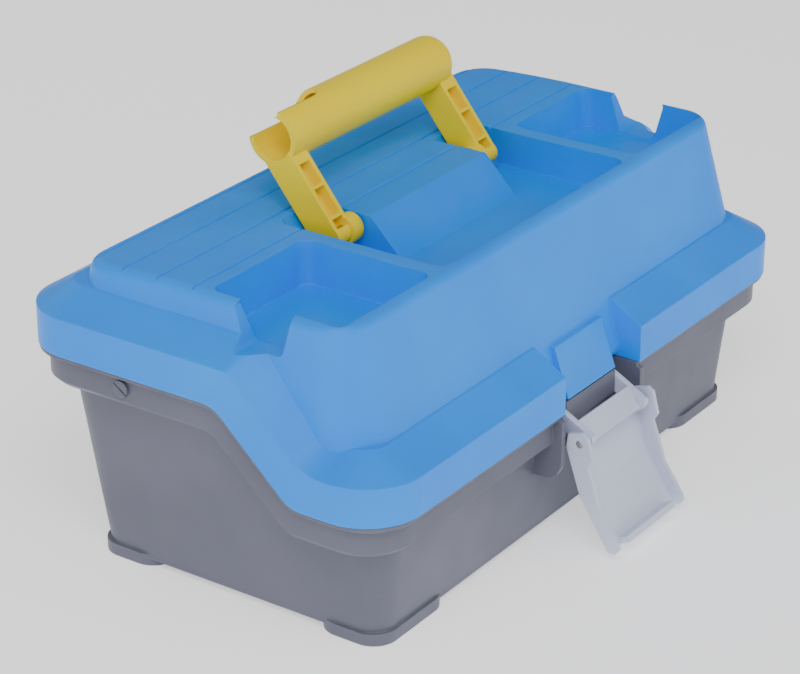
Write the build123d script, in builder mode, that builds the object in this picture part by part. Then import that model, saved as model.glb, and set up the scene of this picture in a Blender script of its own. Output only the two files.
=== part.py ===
from build123d import *
import os
from math import atan2, cos, degrees, radians, sin, tan

# A hinged toolbox with a cantilever tray. +X runs along the front, +Y to the rear, +Z up.
# The feet stand on Z = 0. Sizes are in millimetres.

# ---------------------------------------------------------------- driving dimensions
lid_length = 300.0
lid_depth = 171.8
lid_corner = 23.6
lid_top = 127.2

# The parting line between lid and base is low at the front, high at the rear.
step_low = 60.0
step_high = 91.7
step_front = -44.5
step_rear = -10.5
step_radius = 13.0

lid_wall = 2.4
base_wall = 2.4
parting_gap = 0.3

# Lid: upright flange, sloping shelf, steep platform
flange_height = 15.7
shelf_rise = 8.6
shelf_run = 14.5
platform_half = 133.6
platform_front = -58.6
platform_rear = 64.5
platform_corner = 14.0
side_draft = 8.0
front_draft = 15.5
rear_draft = 30.0
end_edge_radius = 4.0
crown_start = 7.0
crown_drop = 3.5

slat_pitch = 16.8
slat_first = 11.2
slat_grooves = 4
groove_half = 134.3
groove_width = 1.6
groove_depth = 1.3

# Recesses in the top of the lid
recess_front = -54.6
pocket_half = 66.0
pocket_floor = 112.0
rib_width = 6.8
tray_recess_outer = 130.6
tray_recess_rear = 5.0
tray_recess_floor = 110.4
recess_draft = 8.0
recess_corner = 5.0
notch_front = -31.6
notch_rear = -14.8
notch_floor = 111.4
notch_lean = 3.2
hump_half = 38.6
hump_front = -1.0
hump_foot = -19.0

# Handle
handle_pivot_y = 5.3
handle_pivot_z = 121.2
handle_lean = 38.5
grip_offset = 44.3
grip_radius = 11.2
grip_wall = 2.2
grip_half = 55.2
grip_dome = 7.5
grip_dome_reach = 2.6
grip_bore_to = 46.4
window_direction = 47.0
window_depth = 5.4
window_length = 31.0
window_width = 18.6
window_corner = 7.0
leg_outer = 55.8
leg_width = 10.0
leg_front = 4.2
leg_back = 8.8
leg_wall = 1.8
leg_boss = 6.0
leg_inner = 41.4
leg_pocket_depth = 5.0
leg_pockets = ((1.2, 5.3), (6.7, 18.8), (20.2, 30.0))
handle_pin_radius = 2.2
handle_pin_from = 32.6
handle_pin_to = 53.0
handle_slot_clear = 1.6

# Base
band_inset = 4.0
band_height = 15.0
band_corner = 20.0
band_chamfer = 2.4
wall_corner = 16.0
bead_inset = 1.4
bead_height = 1.8
tongue_height = 3.0
plate_half = 131.1
plate_front = -71.2
plate_rear = 65.2
plate_corner = 10.0
plate_low = 3.0
plate_high = 5.0
plate_ledge = 1.2
wall_spread_side = 9.0
wall_spread_front = 9.4
wall_spread_rear = 13.5
foot_length = 46.0
foot_depth = 31.0

# Hinge at the rear
hinge_standoff = 4.8
knuckle_radius = 4.0
hinge_pin_radius = 1.6
hinge_centre = 84.0
knuckle_lid = 18.0
knuckle_base = 9.0
knuckle_gap = 0.4
pin_clearance = 0.06
pin_chamfer = 0.4
pin_overhang = 0.8

# Latch
latch_half = 28.3
latch_block_half = 18.2
latch_block_front = -80.4
latch_channel_back = -70.6
latch_block_low = 49.5
latch_block_high = 59.6
latch_recess_low = 33.0
tab_half = 17.6
tab_low = 60.6
tab_high = 80.8
tab_front_low = -80.8
tab_front_high = -73.8
fin_thickness = 2.4
fin_front = -86.3
fin_low = 31.5
bail_pivot_y = -77.6
bail_pivot_z = 54.2
bail_reach = 15.0
bail_rest = 207.5
bail_half = 21.4
bail_arm = 2.8
bail_pin_radius = 1.5
lever_pin_radius = 1.5
lever_pin_from = 18.8
bail_eye = 3.2
lever_half = 25.8
lever_wall = 1.8
lever_reach = 42.2
lever_rest = 243.5
lip_half = 17.6

# Cantilever tray
arm_pivot_y = 35.6
arm_pivot_z = 84.7
arm_rise = 4.0
arm_reach = 42.0
arm_thickness = 2.4
arm_half_width = 5.5
arm_gap = 0.6
arm_pin_radius = 2.4
tray_half = 126.0
tray_front = -60.0
tray_rear = 56.0
tray_low = 70.0
tray_high = 92.0
tray_wall = 1.8
tray_corner = 8.0
tray_aisle = -8.0
divider_thickness = 1.6
divider_gap = 0.2
divider_positions = (-62.0, 4.0, 58.0)
rivet_head_radius = 3.4
rivet_head_height = 1.4
rivet_slot = 0.8
rivet_slot_turn = 35.0
rivet_boss_radius = 5.0
boss_sink = 0.2
ear_radius = 6.0
ear_play = 0.4
tray_split = 42.0
guide_rib = 1.5
guide_rib_reach = 2.5

# ---------------------------------------------------------------- derived places
step_angle = atan2(step_high - step_low, step_rear - step_front)
half_length = lid_length / 2
half_depth = lid_depth / 2
hinge_y = half_depth + hinge_standoff
hinge_z = step_high
rear_reach = hinge_y + knuckle_radius
bail_tip_y = bail_pivot_y + bail_reach * cos(radians(bail_rest))
bail_tip_z = bail_pivot_z + bail_reach * sin(radians(bail_rest))
lever_nose = 44.9
lip_gap = 0.4
front_reach = -(
    bail_tip_y
    + lever_nose * cos(radians(lever_rest))
    - lip_gap * sin(radians(lever_rest))
)
tray_pin_y = arm_pivot_y - arm_reach
tray_pin_z = arm_pivot_z + arm_rise
lid_pin_y = hinge_y - arm_reach
lid_pin_z = hinge_z + arm_rise
body_y = (front_reach - rear_reach) / 2
lean_y = sin(radians(handle_lean))
lean_z = cos(radians(handle_lean))
arm_plate_x = tray_half + arm_gap
arm_from = arm_plate_x + arm_thickness + arm_gap
rivet_boss_from = arm_from + arm_thickness + arm_gap
boss_to = half_length - band_inset - base_wall + boss_sink
span = lid_length + 60
reach = half_depth + 40


def level(height):
    """Horizontal plane through the middle of the box at a height above the floor."""
    return Plane((0, body_y, height))


def section(x):
    """Upright plane across the box: its X is the box's Y, its Y is the height."""
    return Plane(origin=(x, body_y, 0), x_dir=(0, 1, 0), z_dir=(1, 0, 0))


def arm_plane(x, y, z, direction):
    """Upright plane across the box at a pivot, its X pointing along an arm."""
    turn = radians(direction)
    return Plane(origin=(x, body_y + y, z), x_dir=(0, cos(turn), sin(turn)), z_dir=(1, 0, 0))


def below_parting(shift):
    """Side profile of everything below the parting line moved along its normal."""
    slide = -shift * tan(step_angle / 2)
    corners = [
        (-reach, -reach),
        (-reach, step_low + shift),
        (step_front + slide, step_low + shift),
        (step_rear + slide, step_high + shift),
        (reach, step_high + shift),
        (reach, -reach),
    ]
    with BuildSketch(section(-span / 2), mode=Mode.PRIVATE) as profile:
        with BuildLine():
            FilletPolyline(*corners, radius=step_radius, close=True)
        make_face()
    return profile.sketch


def outline(height, half, front, rear, corner):
    """Rounded rectangle at a height, from its half length and its front and rear edges."""
    with BuildSketch(level(height), mode=Mode.PRIVATE) as shape:
        with Locations((0, (front + rear) / 2)):
            RectangleRounded(2 * half, rear - front, corner)
    return shape.sketch


def round_bar(radius, x_from, x_to, y, z):
    """Round bar along X."""
    with BuildSketch(section(x_from), mode=Mode.PRIVATE) as disc:
        with Locations((y, z)):
            Circle(radius)
    return extrude(disc.sketch, amount=x_to - x_from, mode=Mode.PRIVATE)


def profile_bar(points, x_from, x_to):
    """Straight bar along X from a side profile."""
    with BuildSketch(section(x_from), mode=Mode.PRIVATE) as shape:
        with BuildLine():
            Polyline(*points, close=True)
        make_face()
    return extrude(shape.sketch, amount=x_to - x_from, mode=Mode.PRIVATE)


def box_between(x, y, z):
    """Box between pairs of limits along each axis."""
    with BuildSketch(level(z[0]), mode=Mode.PRIVATE) as shape:
        with Locations(((x[0] + x[1]) / 2, (y[0] + y[1]) / 2)):
            Rectangle(x[1] - x[0], y[1] - y[0])
    return extrude(shape.sketch, amount=z[1] - z[0], mode=Mode.PRIVATE)


def rim_edges(part, side=1):
    """Edges round the stepped upper surface of a solid, or the lower one with side -1."""
    tops = [face for face in part.faces() if face.normal_at().Z * side > 0.3]
    shared = [edge for face in tops for edge in face.edges()]
    return [edge for edge in shared if sum(edge.is_same(other) for other in shared) == 1]


os.makedirs("parts", exist_ok=True)

# ================================================================ lid
# Solid blocks that the lid is made from: the flange with its sloping shelf, and the platform.


def flange_block(inset):
    """Flange and shelf as one block, moved inwards by a wall thickness."""
    rise = flange_height + shelf_rise - inset
    with BuildPart() as block:
        with BuildSketch(level(0)):
            RectangleRounded(
                lid_length - 2 * inset, lid_depth - 2 * inset, lid_corner - inset
            )
        extrude(amount=step_high + 60)
        extrude(to_extrude=below_parting(rise), amount=span, mode=Mode.INTERSECT)
        chamfer(rim_edges(block.part), length=shelf_rise, length2=shelf_run)
    return block.part


def platform_block(inset):
    """Drafted platform with a crowned rear, moved inwards by a wall thickness."""
    rise = lid_top - step_low
    side = rise * tan(radians(side_draft))
    front = rise * tan(radians(front_draft))
    rear = min(rise * tan(radians(rear_draft)), half_depth - platform_rear)
    low = outline(
        step_low,
        platform_half + side - inset,
        platform_front - front + inset,
        platform_rear + rear - inset,
        lid_corner,
    )
    high = outline(
        lid_top, platform_half - inset, platform_front + inset, platform_rear - inset, platform_corner
    )
    crown_end = (platform_rear + 8, lid_top - inset - crown_drop)
    with BuildSketch(section(-span / 2)) as crown:
        with BuildLine():
            Polyline((crown_start, lid_top - inset), (-reach, lid_top - inset), (-reach, 0))
            Polyline((-reach, 0), (reach, 0), crown_end)
            TangentArc((crown_start, lid_top - inset), crown_end, tangent=(1, 0))
        make_face()
    with BuildPart() as block:
        loft([low, high])
        extrude(to_extrude=crown.sketch, amount=span, mode=Mode.INTERSECT)
        rims = ShapeList(rim_edges(block.part))
        front_rim = rims.sort_by(Axis.Y)[0]
        fillet([edge for edge in rims if not edge.is_same(front_rim)], end_edge_radius - inset)
    return block.part


def recess_block(x, y, floor, draft, corner, grow):
    """Drafted recess open at the top, grown outwards by a wall thickness."""
    top = lid_top + 1
    taper = (top - floor) * tan(radians(draft))
    middle = ((x[0] + x[1]) / 2, (y[0] + y[1]) / 2)
    with BuildSketch(level(floor - grow)) as low:
        with Locations(middle):
            RectangleRounded(
                x[1] - x[0] - 2 * taper + 2 * grow, y[1] - y[0] - 2 * taper + 2 * grow, corner
            )
    with BuildSketch(level(top)) as high:
        with Locations(middle):
            RectangleRounded(x[1] - x[0] + 2 * grow, y[1] - y[0] + 2 * grow, corner)
    return loft([low.sketch, high.sketch], mode=Mode.PRIVATE)



def pin_bar(radius, x_from, x_to, y, z):
    """Pin along X with both ends chamfered."""
    with BuildPart() as bar:
        add(round_bar(radius, x_from, x_to, y, z))
        chamfer(bar.edges().filter_by(GeomType.CIRCLE), pin_chamfer)
    return bar.part


def both_sides(solid):
    """A solid and its mirror image across the middle of the box."""
    return [solid, mirror(solid, about=Plane.YZ, mode=Mode.PRIVATE)]


def lid_recesses(grow):
    """Pocket, handle slots and the two side recesses, grown by a wall thickness."""
    slot_back = leg_back + handle_slot_clear + grow
    floor = pocket_floor - grow
    top = lid_top + 1
    along_floor = (floor - handle_pivot_z + slot_back * lean_y) / lean_z
    along_top = (top - handle_pivot_z + slot_back * lean_y) / lean_z
    profile = [
        (recess_front - grow, top),
        (recess_front + 2 - grow, floor),
        (handle_pivot_y + along_floor * lean_y + slot_back * lean_z, floor),
        (handle_pivot_y + along_top * lean_y + slot_back * lean_z, top),
    ]
    with BuildPart() as pocket:
        add(profile_bar(profile, -pocket_half - grow, pocket_half + grow))
        ends = pocket.faces().filter_by(Axis.X)
        upright = [edge for face in ends for edge in face.edges() if abs(edge.center().Z - lid_top) > 2]
        fillet([edge for edge in upright if edge.center().Z > floor + 2], recess_corner)
    hump_back = handle_pivot_y + 40
    with BuildSketch(section(0), mode=Mode.PRIVATE) as hump_low:
        with BuildLine():
            Polyline(
                (hump_front + grow, top + 1),
                (hump_foot + grow * 1.5, pocket_floor - grow - 1),
                (hump_back, pocket_floor - grow - 1),
                (hump_back, top + 1),
                close=True,
            )
        make_face()
    hump = extrude(hump_low.sketch, amount=hump_half + 2 - grow, both=True, mode=Mode.PRIVATE)
    side = recess_block(
        (pocket_half + rib_width, tray_recess_outer),
        (recess_front, tray_recess_rear),
        tray_recess_floor,
        recess_draft,
        recess_corner,
        grow,
    )
    return [pocket.part - hump] + both_sides(side)


def slat_cut(y):
    """V groove along the top, at the height of the crown there."""
    drop = crown_drop * max(y - crown_start, 0) ** 2 / (platform_rear + 8 - crown_start) ** 2
    height = lid_top - drop
    slope = groove_width / 2 / groove_depth
    points = [
        (y, height - groove_depth),
        (y + slope * (groove_depth + 1), height + 1),
        (y - slope * (groove_depth + 1), height + 1),
    ]
    return profile_bar(points, -groove_half, groove_half)


def side_notch(grow):
    """Notch through the outer wall of a side recess, grown outwards by a wall thickness."""
    top = lid_top + 1
    rise = (top - notch_floor) / (lid_top - notch_floor)
    with BuildSketch(section(tray_recess_outer - 8), mode=Mode.PRIVATE) as opening:
        with BuildLine():
            Polyline(
                (notch_front - grow, notch_floor - grow),
                (notch_rear + grow, notch_floor - grow),
                (notch_rear + 2 * notch_lean * rise + grow, top),
                (notch_front - notch_lean * rise - grow, top),
                close=True,
            )
        make_face()
        low = opening.vertices().group_by(Axis.Z)[0]
        fillet(low, 2.5)
    return extrude(opening.sketch, amount=30, mode=Mode.PRIVATE)


def knuckle(x_from, x_to, points):
    """Hinge knuckle with the web that joins it to its wall."""
    return profile_bar(points, x_from, x_to) + round_bar(
        knuckle_radius, x_from, x_to, hinge_y, hinge_z
    )


recesses = lid_recesses(0)
notch_box = box_between((-latch_half, latch_half), (-reach, recess_front), (0, lid_top - 20))
notch_walls = box_between(
    (-latch_half - lid_wall, latch_half + lid_wall), (-reach, recess_front), (0, lid_top - 20)
)
lid_web = [
    (half_depth - lid_wall / 2, step_high),
    (hinge_y, hinge_z - knuckle_radius),
    (hinge_y + knuckle_radius, hinge_z),
    (half_depth - lid_wall / 2, step_high + flange_height - 1),
]
lid_outer = (flange_block(0) - notch_box) + platform_block(0)
lid_inner = (flange_block(lid_wall) - notch_walls) + platform_block(lid_wall)
notch_blocks = both_sides(side_notch(lid_wall))
housings = [grown & lid_outer for grown in lid_recesses(lid_wall) + notch_blocks]
boss_radius = handle_pin_radius + 2.2
pin_boss = round_bar(boss_radius, hump_half - 8, hump_half + 1, handle_pivot_y, handle_pivot_z)
with BuildSketch(section(arm_plate_x), mode=Mode.PRIVATE) as bracket_face:
    with Locations((lid_pin_y, lid_pin_z)):
        Circle(arm_half_width)
    with Locations((lid_pin_y, (lid_pin_z + lid_top - lid_wall) / 2)):
        Rectangle(2 * arm_half_width, lid_top - lid_wall - lid_pin_z)
bracket = extrude(bracket_face.sketch, amount=arm_thickness, mode=Mode.PRIVATE)
lid_knuckle = knuckle(hinge_centre - knuckle_lid / 2, hinge_centre + knuckle_lid / 2, lid_web)

with BuildPart() as lid:
    add(lid_outer)
    add(lid_inner, mode=Mode.SUBTRACT)
    extrude(to_extrude=below_parting(0), amount=span, mode=Mode.SUBTRACT)
    add(housings)
    add(both_sides(pin_boss))
    add(both_sides(bracket))
    add(recesses, mode=Mode.SUBTRACT)
    add(both_sides(side_notch(0)), mode=Mode.SUBTRACT)
    for groove in range(slat_grooves):
        add(slat_cut(slat_first + groove * slat_pitch), mode=Mode.SUBTRACT)
    add(both_sides(lid_knuckle))
    ledge = platform_front - (lid_top - tab_high) * tan(radians(front_draft)) + 1
    foot = platform_front - (lid_top - tab_low) * tan(radians(front_draft)) + 1
    tab = [(tab_front_low, tab_low), (foot, tab_low), (ledge, tab_high), (tab_front_high, tab_high)]
    add(profile_bar(tab, -tab_half, tab_half))
    hole = round_bar(handle_pin_radius, handle_pin_from, hump_half + 8, handle_pivot_y, handle_pivot_z)
    add(both_sides(hole), mode=Mode.SUBTRACT)
    hole = round_bar(arm_pin_radius, arm_plate_x - 1, arm_plate_x + 4, lid_pin_y, lid_pin_z)
    add(both_sides(hole), mode=Mode.SUBTRACT)
    hole_radius = hinge_pin_radius + pin_clearance
    hole = round_bar(hole_radius, hinge_centre - knuckle_lid, hinge_centre + knuckle_lid, hinge_y, hinge_z)
    add(both_sides(hole), mode=Mode.SUBTRACT)
lid.part.label = "lid"
export_step(lid.part, "parts/lid.step")


# ================================================================ base
wall_top = step_high + 6


def tub_block(inset, floor):
    """Flared walls as one block, moved inwards by a wall thickness."""
    share = (floor - plate_high) / (wall_top - plate_high)
    ledge = plate_ledge + inset
    low = outline(
        floor,
        plate_half + share * wall_spread_side - ledge,
        plate_front - share * wall_spread_front + ledge,
        plate_rear + share * wall_spread_rear - ledge,
        plate_corner - inset,
    )
    high = outline(
        wall_top,
        plate_half + wall_spread_side - ledge,
        plate_front - wall_spread_front + ledge,
        plate_rear + wall_spread_rear - ledge,
        wall_corner - inset,
    )
    return loft([low, high], mode=Mode.PRIVATE)


def band_block(inset, corner, low, high):
    """Block that follows the parting line between two distances from it."""
    with BuildPart() as block:
        with BuildSketch(level(0)):
            RectangleRounded(lid_length - 2 * inset, lid_depth - 2 * inset, corner)
        extrude(amount=step_high + 40)
        extrude(to_extrude=below_parting(high), amount=span, mode=Mode.INTERSECT)
        extrude(to_extrude=below_parting(low), amount=span, mode=Mode.SUBTRACT)
    return block.part


with BuildPart() as band:
    add(band_block(band_inset, band_corner, -band_height, tongue_height))
    chamfer(rim_edges(band.part, -1), length=band_chamfer)
bead = band_block(bead_inset, band_corner, -parting_gap - bead_height, -parting_gap)
band_void = band_block(
    band_inset + base_wall, band_corner - base_wall, -band_height + base_wall, tongue_height + 5
)
fin = [
    (latch_channel_back + 0.6, latch_block_high),
    (-82.0, latch_block_high),
    (fin_front, 57.0),
    (fin_front, 38.0),
    (-84.0, 34.0),
    (-80.5, fin_low),
    (-71.5, fin_low),
]
channel_wall = box_between(
    (-latch_half - fin_thickness, latch_half + fin_thickness),
    (latch_channel_back - 2.4, latch_channel_back + base_wall),
    (latch_recess_low - base_wall, latch_block_high),
)
channel = box_between((-latch_half, latch_half), (-reach, latch_channel_back), (latch_recess_low, 75))
tongue_gap = box_between((-latch_half - 3.2, latch_half + 3.2), (-reach, -60), (59.7, 75))
latch_block = box_between(
    (-latch_block_half, latch_block_half),
    (latch_block_front, latch_channel_back + 0.5),
    (latch_block_low, latch_block_high),
)
base_web = [
    (half_depth - band_inset - 1, 80.0),
    (half_depth - band_inset - 1, hinge_z - 0.5),
    (hinge_y - 4.2, hinge_z - 0.5),
    (hinge_y, hinge_z),
    (hinge_y + 2.8, hinge_z - 2.8),
]
knuckle_from = hinge_centre - knuckle_lid / 2 - knuckle_gap
knuckle_to = hinge_centre + knuckle_lid / 2 + knuckle_gap

with BuildPart() as base_tub:
    add(tub_block(0, plate_high))
    extrude(to_extrude=below_parting(-band_height + 1), amount=span, mode=Mode.INTERSECT)
    add(band.part)
    add(bead)
    add(tub_block(base_wall, plate_low + base_wall), mode=Mode.SUBTRACT)
    add(band_void, mode=Mode.SUBTRACT)
    plate = outline(
        plate_low,
        plate_half - plate_ledge,
        plate_front + plate_ledge,
        plate_rear - plate_ledge,
        plate_corner,
    )
    extrude(to_extrude=plate, amount=plate_high - plate_low)
    with BuildSketch(level(0)):
        with Locations((0, (plate_front + plate_rear) / 2)):
            with GridLocations(
                2 * plate_half - foot_length,
                plate_rear - plate_front - foot_depth,
                2,
                2,
            ):
                RectangleRounded(foot_length, foot_depth, plate_corner)
    extrude(amount=plate_high)
    add(channel_wall)
    add(channel, mode=Mode.SUBTRACT)
    add(tongue_gap, mode=Mode.SUBTRACT)
    add(latch_block)
    add(both_sides(profile_bar(fin, latch_half, latch_half + fin_thickness)))
    add(both_sides(round_bar(rivet_boss_radius, rivet_boss_from, boss_to, arm_pivot_y, arm_pivot_z)))
    add(both_sides(knuckle(knuckle_from - knuckle_base, knuckle_from, base_web)))
    add(both_sides(knuckle(knuckle_to, knuckle_to + knuckle_base, base_web)))
    hole = round_bar(bail_pin_radius, -bail_half, bail_half, bail_pivot_y, bail_pivot_z)
    add(hole, mode=Mode.SUBTRACT)
    hole = round_bar(arm_pin_radius, rivet_boss_from - 1, half_length, arm_pivot_y, arm_pivot_z)
    add(both_sides(hole), mode=Mode.SUBTRACT)
    hole = round_bar(hinge_pin_radius, knuckle_from - knuckle_lid, knuckle_to + knuckle_lid, hinge_y, hinge_z)
    add(both_sides(hole), mode=Mode.SUBTRACT)
base_tub.part.label = "base_tub"
export_step(base_tub.part, "parts/base_tub.step")

with BuildPart() as hinge_pin_right:
    pin_from = knuckle_from - knuckle_base - pin_overhang
    pin_to = knuckle_to + knuckle_base + pin_overhang
    add(pin_bar(hinge_pin_radius, pin_from, pin_to, hinge_y, hinge_z))
hinge_pin_right.part.label = "hinge_pin_right"
export_step(hinge_pin_right.part, "parts/hinge_pin_right.step")

with BuildPart() as hinge_pin_left:
    add(mirror(hinge_pin_right.part, about=Plane.YZ, mode=Mode.PRIVATE))
hinge_pin_left.part.label = "hinge_pin_left"
export_step(hinge_pin_left.part, "parts/hinge_pin_left.step")


# ================================================================ handle
def handle_plane(x):
    """Upright plane at the handle pivot, its X running up the leaning handle."""
    return arm_plane(x, handle_pivot_y, handle_pivot_z, 90 - handle_lean)


with BuildPart() as handle:
    with BuildSketch(handle_plane(-grip_half)):
        with Locations((grip_offset, 0)):
            Circle(grip_radius)
    extrude(amount=2 * grip_half + grip_dome_reach)
    fillet(handle.edges().sort_by(Axis.X)[-1], grip_dome)
    for leg_from in (-leg_outer, leg_outer - leg_width):
        with BuildSketch(handle_plane(leg_from)):
            with BuildLine():
                Polyline(
                    (-1.0, leg_front),
                    (grip_offset - 6, leg_front),
                    (grip_offset - 6, -leg_back),
                    (6.0, -leg_back),
                    (-3.0, -4.0),
                    close=True,
                )
            make_face()
            Circle(leg_front + 0.2)
        extrude(amount=leg_width)
    for boss_from in (-leg_outer + leg_width - leg_wall, leg_inner):
        with BuildSketch(handle_plane(boss_from)):
            Circle(leg_boss)
        extrude(amount=leg_outer - leg_width + leg_wall - leg_inner)
    with BuildSketch(handle_plane(-grip_half - 2)):
        with Locations((grip_offset, 0)):
            Circle(grip_radius - grip_wall)
    extrude(amount=grip_half + 2 + grip_bore_to, mode=Mode.SUBTRACT)
    window_turn = radians(window_direction)
    window_plane = Plane(
        origin=(-grip_half, body_y + handle_pivot_y + grip_offset * lean_y, handle_pivot_z + grip_offset * lean_z),
        x_dir=(1, 0, 0),
        z_dir=(0, cos(window_turn), sin(window_turn)),
    )
    with BuildSketch(window_plane.offset(window_depth)):
        with Locations((0, 0)):
            RectangleRounded(2 * window_length, window_width, window_corner)
    extrude(amount=grip_radius, mode=Mode.SUBTRACT)
    for low, high in leg_pockets:
        for pocket_from in (-leg_outer + leg_wall, leg_outer - leg_width + leg_wall):
            with BuildSketch(handle_plane(pocket_from)):
                with Locations(((low + high) / 2, leg_front - leg_pocket_depth / 2 + 0.5)):
                    Rectangle(high - low, leg_pocket_depth + 1)
            extrude(amount=leg_width - 2 * leg_wall, mode=Mode.SUBTRACT)
    hole_radius = handle_pin_radius + pin_clearance
    hole = round_bar(hole_radius, leg_inner - 1, handle_pin_to + 0.2, handle_pivot_y, handle_pivot_z)
    add(both_sides(hole), mode=Mode.SUBTRACT)
handle.part.label = "handle"
export_step(handle.part, "parts/handle.step")

with BuildPart() as handle_pin_right:
    add(pin_bar(handle_pin_radius, handle_pin_from, handle_pin_to, handle_pivot_y, handle_pivot_z))
handle_pin_right.part.label = "handle_pin_right"
export_step(handle_pin_right.part, "parts/handle_pin_right.step")

with BuildPart() as handle_pin_left:
    add(mirror(handle_pin_right.part, about=Plane.YZ, mode=Mode.PRIVATE))
handle_pin_left.part.label = "handle_pin_left"
export_step(handle_pin_left.part, "parts/handle_pin_left.step")


# ================================================================ latch
def bail_plane(x):
    """Upright plane at the bail pivot, its X running down the bail."""
    return arm_plane(x, bail_pivot_y, bail_pivot_z, bail_rest)


def lever_plane(x):
    """Upright plane at the lever pivot, its X running down the lever."""
    return arm_plane(x, bail_tip_y, bail_tip_z, lever_rest)


with BuildPart() as latch_bail:
    for bail_from in (-bail_half, bail_half - bail_arm):
        with BuildSketch(bail_plane(bail_from)):
            with BuildLine():
                Polyline(
                    (-1.5, -3.4),
                    (16.8, -3.2),
                    (18.2, -1.5),
                    (17.2, 3.0),
                    (13.0, 3.2),
                    (0, 3.0),
                    (-2.8, 0),
                    close=True,
                )
            make_face()
            with Locations((0, 0), (bail_reach, 0)):
                Circle(bail_eye)
        extrude(amount=bail_arm)
    with BuildSketch(bail_plane(bail_arm / 2 - bail_half)):
        with BuildLine():
            Polyline((7.2, -1.8), (8.0, -3.4), (17.3, 0.4), (16.5, 2.0), close=True)
        make_face()
    extrude(amount=2 * bail_half - bail_arm)
    hole = round_bar(bail_pin_radius + pin_clearance, -lever_half, lever_half, bail_pivot_y, bail_pivot_z)
    add(hole, mode=Mode.SUBTRACT)
    hole = round_bar(lever_pin_radius, lever_pin_from, lever_half, bail_tip_y, bail_tip_z)
    add(both_sides(hole), mode=Mode.SUBTRACT)
latch_bail.part.label = "latch_bail"
export_step(latch_bail.part, "parts/latch_bail.step")

with BuildPart() as latch_lever:
    for flange_from in (-lever_half, lever_half - lever_wall):
        with BuildSketch(lever_plane(flange_from)):
            with BuildLine():
                Polyline(
                    (-5.3, 3.0),
                    (-4.1, -3.4),
                    (-1.7, -4.9),
                    (7.8, -3.0),
                    (10.0, 0.3),
                    (15.3, 0.8),
                    (27.8, 2.5),
                    (36.8, 1.1),
                    (43.2, 0.4),
                    (45.3, 0.9),
                    (46.5, 3.4),
                    (44.7, 6.2),
                    (20.4, 9.0),
                    (-0.8, 6.2),
                    close=True,
                )
            make_face()
        extrude(amount=lever_wall)
    with BuildSketch(lever_plane(lever_wall / 2 - lever_half)):
        with BuildLine():
            Polyline((-0.8, 6.2), (20.4, 9.0), (44.7, 6.2), (44.4, 4.7), (20.4, 7.5), (-0.8, 4.7), close=True)
        make_face()
    extrude(amount=2 * lever_half - lever_wall)
    with BuildSketch(lever_plane(-lip_half)):
        with BuildLine():
            Polyline(
                (lever_reach, 5.6), (lever_nose, 6.0), (lever_nose, lip_gap), (lever_reach, lip_gap), close=True
            )
        make_face()
    extrude(amount=2 * lip_half)
    hole = round_bar(lever_pin_radius + pin_clearance, -latch_half, latch_half, bail_tip_y, bail_tip_z)
    add(hole, mode=Mode.SUBTRACT)
latch_lever.part.label = "latch_lever"
export_step(latch_lever.part, "parts/latch_lever.step")

with BuildPart() as bail_pin:
    add(pin_bar(bail_pin_radius, -bail_half, bail_half, bail_pivot_y, bail_pivot_z))
bail_pin.part.label = "bail_pin"
export_step(bail_pin.part, "parts/bail_pin.step")

with BuildPart() as lever_pins:
    stub = pin_bar(lever_pin_radius, lever_pin_from, lever_half, bail_tip_y, bail_tip_z)
    add(both_sides(stub))
lever_pins.part.label = "lever_pins"
export_step(lever_pins.part, "parts/lever_pins.step")


# ================================================================ cantilever arms
arm_length = (arm_reach**2 + arm_rise**2) ** 0.5
arm_direction = degrees(atan2(arm_rise, -arm_reach))

with BuildPart() as arm_right:
    with BuildSketch(arm_plane(arm_from, arm_pivot_y, arm_pivot_z, arm_direction)):
        with Locations((arm_length / 2, 0)):
            SlotCenterToCenter(arm_length, 2 * arm_half_width)
        with Locations((0, 0), (arm_length, 0)):
            Circle(arm_pin_radius + pin_clearance, mode=Mode.SUBTRACT)
    extrude(amount=arm_thickness)
arm_right.part.label = "arm_right"
export_step(arm_right.part, "parts/arm_right.step")

with BuildPart() as arm_left:
    add(mirror(arm_right.part, about=Plane.YZ, mode=Mode.PRIVATE))
arm_left.part.label = "arm_left"
export_step(arm_left.part, "parts/arm_left.step")

with BuildPart() as side_rivet_right:
    rivet_to = half_length - band_inset
    add(round_bar(arm_pin_radius, arm_from - 0.4, rivet_to + 0.2, arm_pivot_y, arm_pivot_z))
    head_radius = rivet_head_radius
    add(round_bar(head_radius, rivet_to, rivet_to + rivet_head_height, arm_pivot_y, arm_pivot_z))
    with BuildSketch(section(rivet_to + rivet_head_height)):
        with Locations((arm_pivot_y, arm_pivot_z)):
            Rectangle(2 * rivet_head_radius, rivet_slot, rotation=rivet_slot_turn)
    extrude(amount=-rivet_slot, mode=Mode.SUBTRACT)
side_rivet_right.part.label = "side_rivet_right"
export_step(side_rivet_right.part, "parts/side_rivet_right.step")

with BuildPart() as side_rivet_left:
    add(mirror(side_rivet_right.part, about=Plane.YZ, mode=Mode.PRIVATE))
side_rivet_left.part.label = "side_rivet_left"
export_step(side_rivet_left.part, "parts/side_rivet_left.step")

with BuildPart() as lid_tray_pin_right:
    pin_from = tray_half - tray_wall - 0.4
    add(pin_bar(arm_pin_radius, pin_from, arm_plate_x + arm_thickness, lid_pin_y, lid_pin_z))
lid_tray_pin_right.part.label = "lid_tray_pin_right"
export_step(lid_tray_pin_right.part, "parts/lid_tray_pin_right.step")

with BuildPart() as lid_tray_pin_left:
    add(mirror(lid_tray_pin_right.part, about=Plane.YZ, mode=Mode.PRIVATE))
lid_tray_pin_left.part.label = "lid_tray_pin_left"
export_step(lid_tray_pin_left.part, "parts/lid_tray_pin_left.step")

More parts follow.
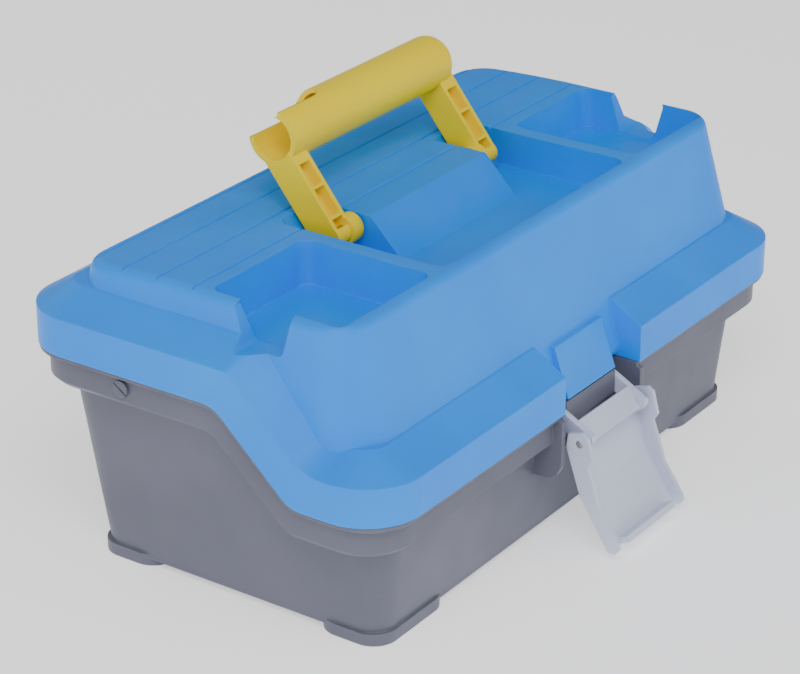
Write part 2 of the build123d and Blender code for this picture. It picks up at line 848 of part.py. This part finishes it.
with BuildPart() as arm_tray_pin_right:
    pin_from = tray_half - tray_wall - 0.8
    add(pin_bar(arm_pin_radius, pin_from, arm_from + arm_thickness + 0.6, tray_pin_y, tray_pin_z))
arm_tray_pin_right.part.label = "arm_tray_pin_right"
export_step(arm_tray_pin_right.part, "parts/arm_tray_pin_right.step")

with BuildPart() as arm_tray_pin_left:
    add(mirror(arm_tray_pin_right.part, about=Plane.YZ, mode=Mode.PRIVATE))
arm_tray_pin_left.part.label = "arm_tray_pin_left"
export_step(arm_tray_pin_left.part, "parts/arm_tray_pin_left.step")


# ================================================================ tray
tray_floor = tray_low + tray_wall
front_room = (tray_front + tray_wall, tray_aisle - divider_thickness / 2)
rib_offset = divider_thickness / 2 + divider_gap

with BuildPart() as tray:
    extrude(
        to_extrude=outline(tray_low, tray_half, tray_front, tray_rear, tray_corner),
        amount=tray_high - tray_low,
    )
    inner = outline(
        tray_floor,
        tray_half - tray_wall,
        tray_front + tray_wall,
        tray_rear - tray_wall,
        tray_corner - tray_wall,
    )
    extrude(to_extrude=inner, amount=tray_high, mode=Mode.SUBTRACT)
    add(
        box_between(
            (-tray_half + tray_wall / 2, tray_half - tray_wall / 2),
            (front_room[1], tray_aisle + divider_thickness / 2),
            (tray_low + tray_wall / 2, tray_high - 2),
        )
    )
    for x in (-tray_split, tray_split):
        add(
            box_between(
                (x - divider_thickness / 2, x + divider_thickness / 2),
                (tray_aisle, tray_rear - tray_wall / 2),
                (tray_low + tray_wall / 2, tray_high - 2),
            )
        )
    for x in divider_positions:
        for low in (x - rib_offset - guide_rib, x + rib_offset):
            for face_y in (front_room[0] - 0.5, front_room[1] + 0.5 - guide_rib_reach):
                add(
                    box_between(
                        (low, low + guide_rib),
                        (face_y, face_y + guide_rib_reach),
                        (tray_low + tray_wall / 2, tray_high - 3),
                    )
                )
    with BuildSketch(section(tray_half - tray_wall)) as ears:
        for y, z in ((tray_pin_y, tray_pin_z), (lid_pin_y, lid_pin_z)):
            with Locations((y, z)):
                Circle(ear_radius)
            with Locations((y, (z + tray_high - 6) / 2)):
                Rectangle(2 * ear_radius, z - tray_high + 6)
    ear = extrude(to_extrude=ears.sketch, amount=tray_wall, mode=Mode.PRIVATE)
    add(both_sides(ear))
    hole = round_bar(arm_pin_radius, tray_half - tray_wall - 1, tray_half + 1, tray_pin_y, tray_pin_z)
    add(both_sides(hole), mode=Mode.SUBTRACT)
    hole_radius = arm_pin_radius + ear_play
    hole = round_bar(hole_radius, tray_half - tray_wall - 1, tray_half + 1, lid_pin_y, lid_pin_z)
    add(both_sides(hole), mode=Mode.SUBTRACT)
tray.part.label = "tray"
export_step(tray.part, "parts/tray.step")


def divider_at(x):
    """Loose divider standing between two pairs of guide ribs."""
    with BuildPart() as plate:
        with BuildSketch(section(x - divider_thickness / 2)):
            with Locations(((front_room[0] + front_room[1]) / 2, (tray_floor + tray_high - 3) / 2)):
                Rectangle(front_room[1] - front_room[0] - 2 * divider_gap, tray_high - 3 - tray_floor)
        extrude(amount=divider_thickness)
        upper = plate.edges().filter_by(Axis.X).group_by(Axis.Z)[-1]
        fillet(upper, 3)
    return plate.part


with BuildPart() as tray_divider_1:
    add(divider_at(divider_positions[0]))
tray_divider_1.part.label = "tray_divider_1"
export_step(tray_divider_1.part, "parts/tray_divider_1.step")

with BuildPart() as tray_divider_2:
    add(divider_at(divider_positions[1]))
tray_divider_2.part.label = "tray_divider_2"
export_step(tray_divider_2.part, "parts/tray_divider_2.step")

with BuildPart() as tray_divider_3:
    add(divider_at(divider_positions[2]))
tray_divider_3.part.label = "tray_divider_3"
export_step(tray_divider_3.part, "parts/tray_divider_3.step")
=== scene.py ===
from math import cos, radians, sin

import bpy
from mathutils import Matrix, Vector


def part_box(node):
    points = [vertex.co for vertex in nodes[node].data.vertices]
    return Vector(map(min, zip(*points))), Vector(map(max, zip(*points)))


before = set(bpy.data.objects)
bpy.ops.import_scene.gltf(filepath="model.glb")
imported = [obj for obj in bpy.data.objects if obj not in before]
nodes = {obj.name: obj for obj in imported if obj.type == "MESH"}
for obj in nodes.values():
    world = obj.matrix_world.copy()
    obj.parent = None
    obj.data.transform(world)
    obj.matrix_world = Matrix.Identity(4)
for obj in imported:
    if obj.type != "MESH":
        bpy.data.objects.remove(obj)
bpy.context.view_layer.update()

# ---------------------------------------------------------------- sizes of the surface detail
# Lengths are in metres, and cells are noise cells per metre.
plastic_rounding = 0.0007
pin_rounding = 0.0003
rubbed_width = 0.0011
flow_height = 0.00008
grain_height = 0.00003
drawn_height = 0.00003
scatter_depth = 0.0015

drift_cells = 14
flow_cells = 26
dull_cells = 60
rubbed_cells = 160
scuff_cells = 420
grain_cells = 2600
drawn_cells = 5200
spot_cells = 700

# A stretch under one draws the noise out along that axis.
flow_stretch = (0.25, 1.0, 1.6)
scuff_stretch = (0.12, 1.0, 1.0)
drawn_stretch = (0.03, 1.0, 1.0)

# Cosines between the rounded and the flat normal: the first is an open face, the second is an edge.
face_cosine = 0.99
edge_cosine = 0.8

# The colour sockets of a mix node.
mix_first, mix_second, mix_result = 6, 7, 2


# ---------------------------------------------------------------- material helpers
class Tree:
    """Small helper that adds and joins the nodes of one material."""

    def __init__(self, name):
        self.material = bpy.data.materials.new(name)
        self.material.use_nodes = True
        self.nodes = self.material.node_tree.nodes
        self.links = self.material.node_tree.links
        self.shader = self.nodes["Principled BSDF"]
        self.place = self.add("ShaderNodeTexCoord").outputs["Object"]

    def add(self, kind, **values):
        node = self.nodes.new(kind)
        for key, value in values.items():
            setattr(node, key, value)
        return node

    def join(self, source, target):
        self.links.new(source, target)

    def noise(self, cells, detail=3.0, rough=0.5, stretch=None):
        """Noise over the object's own coordinates."""
        node = self.add("ShaderNodeTexNoise")
        node.inputs["Scale"].default_value = cells
        node.inputs["Detail"].default_value = detail
        node.inputs["Roughness"].default_value = rough
        source = self.place
        if stretch:
            mapping = self.add("ShaderNodeMapping")
            mapping.inputs["Scale"].default_value = stretch
            self.join(self.place, mapping.inputs["Vector"])
            source = mapping.outputs["Vector"]
        self.join(source, node.inputs["Vector"])
        return node.outputs["Fac"]

    def span(self, source, low, high, to_low=0.0, to_high=1.0):
        """Source between low and high, mapped to another range and clamped."""
        node = self.add("ShaderNodeMapRange")
        node.inputs["From Min"].default_value = low
        node.inputs["From Max"].default_value = high
        node.inputs["To Min"].default_value = to_low
        node.inputs["To Max"].default_value = to_high
        self.join(source, node.inputs["Value"])
        return node.outputs["Result"]

    def maths(self, operation, first, second):
        """One operation on two values, each a number or another node's value."""
        node = self.add("ShaderNodeMath", operation=operation)
        for socket, value in zip(node.inputs, (first, second)):
            if isinstance(value, (int, float)):
                socket.default_value = value
            else:
                self.join(value, socket)
        return node.outputs["Value"]

    def plus(self, value, source, share):
        """Value with a share of source added to it."""
        return self.maths("ADD", value, self.maths("MULTIPLY", source, share))

    def mix(self, factor, first, second):
        """Mix of two colours, each a value or another node's colour."""
        node = self.add("ShaderNodeMix", data_type="RGBA")
        self.join(factor, node.inputs["Factor"])
        for index, value in ((mix_first, first), (mix_second, second)):
            if isinstance(value, tuple):
                node.inputs[index].default_value = (*value, 1.0)
            else:
                self.join(value, node.inputs[index])
        return node.outputs[mix_result]

    def soft_normal(self, radius):
        bevel = self.add("ShaderNodeBevel", samples=6)
        bevel.inputs["Radius"].default_value = radius
        return bevel.outputs["Normal"]

    def edge(self, radius):
        """One along the edges of a piece, zero on its open faces."""
        flat = self.add("ShaderNodeNewGeometry").outputs["Normal"]
        dot = self.add("ShaderNodeVectorMath", operation="DOT_PRODUCT")
        self.join(self.soft_normal(radius), dot.inputs[0])
        self.join(flat, dot.inputs[1])
        return self.span(dot.outputs["Value"], face_cosine, edge_cosine)

    def bump(self, height, strength, distance, normal):
        node = self.add("ShaderNodeBump")
        node.inputs["Strength"].default_value = strength
        node.inputs["Distance"].default_value = distance
        self.join(height, node.inputs["Height"])
        self.join(normal, node.inputs["Normal"])
        return node.outputs["Normal"]


def plastic(name, colour, shade, worn, rough=0.42):
    """Moulded plastic: slow colour drift, spark grain, flow lines, rubbed edges and fine scuffs."""
    t = Tree(name)
    drift = t.span(t.noise(drift_cells), 0.35, 0.65)
    flow = t.span(t.noise(flow_cells, detail=2, rough=0.4, stretch=flow_stretch), 0.4, 0.6)
    scuff = t.span(t.noise(scuff_cells, detail=4, rough=0.65, stretch=scuff_stretch), 0.66, 0.76)
    patchy = t.span(t.noise(rubbed_cells, detail=4, rough=0.6), 0.4, 0.6, 0.15, 0.9)
    rubbed = t.maths("MULTIPLY", t.edge(rubbed_width), patchy)

    body = t.mix(drift, colour, shade)
    body = t.mix(t.maths("MULTIPLY", rubbed, 0.55), body, worn)
    body = t.mix(t.maths("MULTIPLY", scuff, 0.10), body, worn)
    t.join(body, t.shader.inputs["Base Color"])

    dull = t.span(t.noise(dull_cells), 0.3, 0.7, rough - 0.05, rough + 0.06)
    dull = t.plus(dull, scuff, 0.10)
    dull = t.plus(dull, rubbed, -0.06)
    t.join(dull, t.shader.inputs["Roughness"])

    normal = t.soft_normal(plastic_rounding)
    normal = t.bump(flow, 0.25, flow_height, normal)
    normal = t.bump(t.noise(grain_cells, detail=2), 0.5, grain_height, normal)
    t.join(normal, t.shader.inputs["Normal"])

    t.shader.inputs["IOR"].default_value = 1.49
    t.shader.inputs["Specular IOR Level"].default_value = 0.24
    t.shader.inputs["Subsurface Weight"].default_value = 0.04
    t.shader.inputs["Subsurface Radius"].default_value = (1.0, 1.0, 1.0)
    t.shader.inputs["Subsurface Scale"].default_value = scatter_depth
    return t.material


def steel(name):
    """Drawn steel pin: lines along the pin, and small changes of colour and roughness."""
    t = Tree(name)
    lines = t.noise(drawn_cells, rough=0.6, stretch=drawn_stretch)
    tone = t.mix(t.span(lines, 0.3, 0.7), (0.50, 0.50, 0.51), (0.68, 0.68, 0.69))
    spots = t.span(t.noise(spot_cells), 0.62, 0.75, 0.0, 0.5)
    t.join(t.mix(spots, tone, (0.36, 0.34, 0.32)), t.shader.inputs["Base Color"])
    t.join(t.span(lines, 0.3, 0.7, 0.24, 0.42), t.shader.inputs["Roughness"])
    normal = t.bump(lines, 0.4, drawn_height, t.soft_normal(pin_rounding))
    t.join(normal, t.shader.inputs["Normal"])
    t.shader.inputs["Metallic"].default_value = 1.0
    return t.material


# ---------------------------------------------------------------- colours: body, shade and worn edge
blue = plastic("lid_blue", (0.0, 0.300, 1.0), (0.0, 0.255, 0.95), (0.06, 0.45, 1.0))
grey = plastic("base_grey", (0.150, 0.155, 0.205), (0.128, 0.133, 0.176), (0.30, 0.31, 0.37))
yellow = plastic(
    "handle_yellow", (1.0, 0.78, 0.0), (0.98, 0.70, 0.0), (1.0, 0.88, 0.08), rough=0.38
)
pale = plastic(
    "latch_grey", (0.64, 0.69, 0.85), (0.58, 0.63, 0.78), (0.82, 0.85, 0.94), rough=0.40
)
inner_grey = plastic(
    "tray_grey", (0.170, 0.176, 0.225), (0.148, 0.154, 0.196), (0.32, 0.33, 0.39)
)
pin_steel = steel("pin_steel")

# A piece that isn't listed is a pin.
finish = {
    "lid": blue,
    "base_tub": grey,
    "side_rivet_left": grey,
    "side_rivet_right": grey,
    "handle": yellow,
    "latch_bail": pale,
    "latch_lever": pale,
    "arm_left": pale,
    "arm_right": pale,
    "tray": inner_grey,
    "tray_divider_1": pale,
    "tray_divider_2": pale,
    "tray_divider_3": pale,
}
for name, piece in nodes.items():
    piece.data.materials.clear()
    piece.data.materials.append(finish.get(name, pin_steel))


# ---------------------------------------------------------------- floor
floor_half = 6
floor_glow = 0.7

corners = [
    (-floor_half, -floor_half, 0),
    (floor_half, -floor_half, 0),
    (floor_half, floor_half, 0),
    (-floor_half, floor_half, 0),
]
floor_mesh = bpy.data.meshes.new("floor")
floor_mesh.from_pydata(corners, [], [(0, 1, 2, 3)])
floor = bpy.data.objects.new("floor", floor_mesh)
bpy.context.scene.collection.objects.link(floor)
paper = Tree("paper")
tint = paper.span(paper.noise(3, detail=2), 0.3, 0.7)
paper.join(
    paper.mix(tint, (0.93, 0.93, 0.935), (0.90, 0.90, 0.905)),
    paper.shader.inputs["Base Color"],
)
paper.join(paper.span(paper.noise(40), 0.3, 0.7, 0.75, 0.9), paper.shader.inputs["Roughness"])
paper.shader.inputs["Emission Color"].default_value = (1.0, 1.0, 1.0, 1.0)
paper.shader.inputs["Emission Strength"].default_value = floor_glow
floor.data.materials.append(paper.material)


# ---------------------------------------------------------------- light
# The point that lamps and camera face is half the lid's own depth behind the lid's front edge.
half_lid_depth = 0.0859
middle_height = 0.070
world_light = 0.36

lid_low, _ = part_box("lid")
middle = Vector((0, lid_low.y + half_lid_depth, middle_height))


def area_light(name, place, size, power):
    """Rectangular lamp that faces the middle of the box."""
    data = bpy.data.lights.new(name, "AREA")
    data.shape = "RECTANGLE"
    data.size, data.size_y = size
    data.energy = power
    lamp = bpy.data.objects.new(name, data)
    lamp.location = place
    lamp.rotation_euler = (middle - Vector(place)).to_track_quat("-Z", "Y").to_euler()
    bpy.context.scene.collection.objects.link(lamp)


area_light("key", (-0.80, -0.60, 1.25), (0.9, 0.8), 12)
area_light("front", (0.45, -1.25, 0.60), (1.1, 0.7), 4.5)
area_light("left", (-1.35, 0.20, 0.45), (0.9, 0.6), 3)
area_light("back", (0.30, 1.20, 0.90), (1.0, 0.6), 2)

world = bpy.data.worlds.new("studio")
world.use_nodes = True
world.node_tree.nodes["Background"].inputs["Color"].default_value = (1, 1, 1, 1)
world.node_tree.nodes["Background"].inputs["Strength"].default_value = world_light
bpy.context.scene.world = world


# ---------------------------------------------------------------- camera, fitted to the photo
azimuth, elevation = radians(-55.163), radians(25.162)
camera_distance = 1.1414
camera_right = -0.0092
camera_up = -0.0100
sensor_width_mm = 36
focal_length_mm = 126.432

back = Vector((sin(azimuth) * cos(elevation), -cos(azimuth) * cos(elevation), sin(elevation)))
right = (-back).cross(Vector((0, 0, 1))).normalized()
up = right.cross(-back).normalized()
lens = bpy.data.cameras.new("camera")
lens.sensor_width = sensor_width_mm
lens.lens = focal_length_mm
lens.clip_start = 0.05
camera = bpy.data.objects.new("camera", lens)
camera_place = middle + camera_distance * back + camera_right * right + camera_up * up
turn = Matrix((right, up, back)).transposed().to_4x4()
camera.matrix_world = Matrix.Translation(camera_place) @ turn
bpy.context.scene.collection.objects.link(camera)
bpy.context.scene.camera = camera
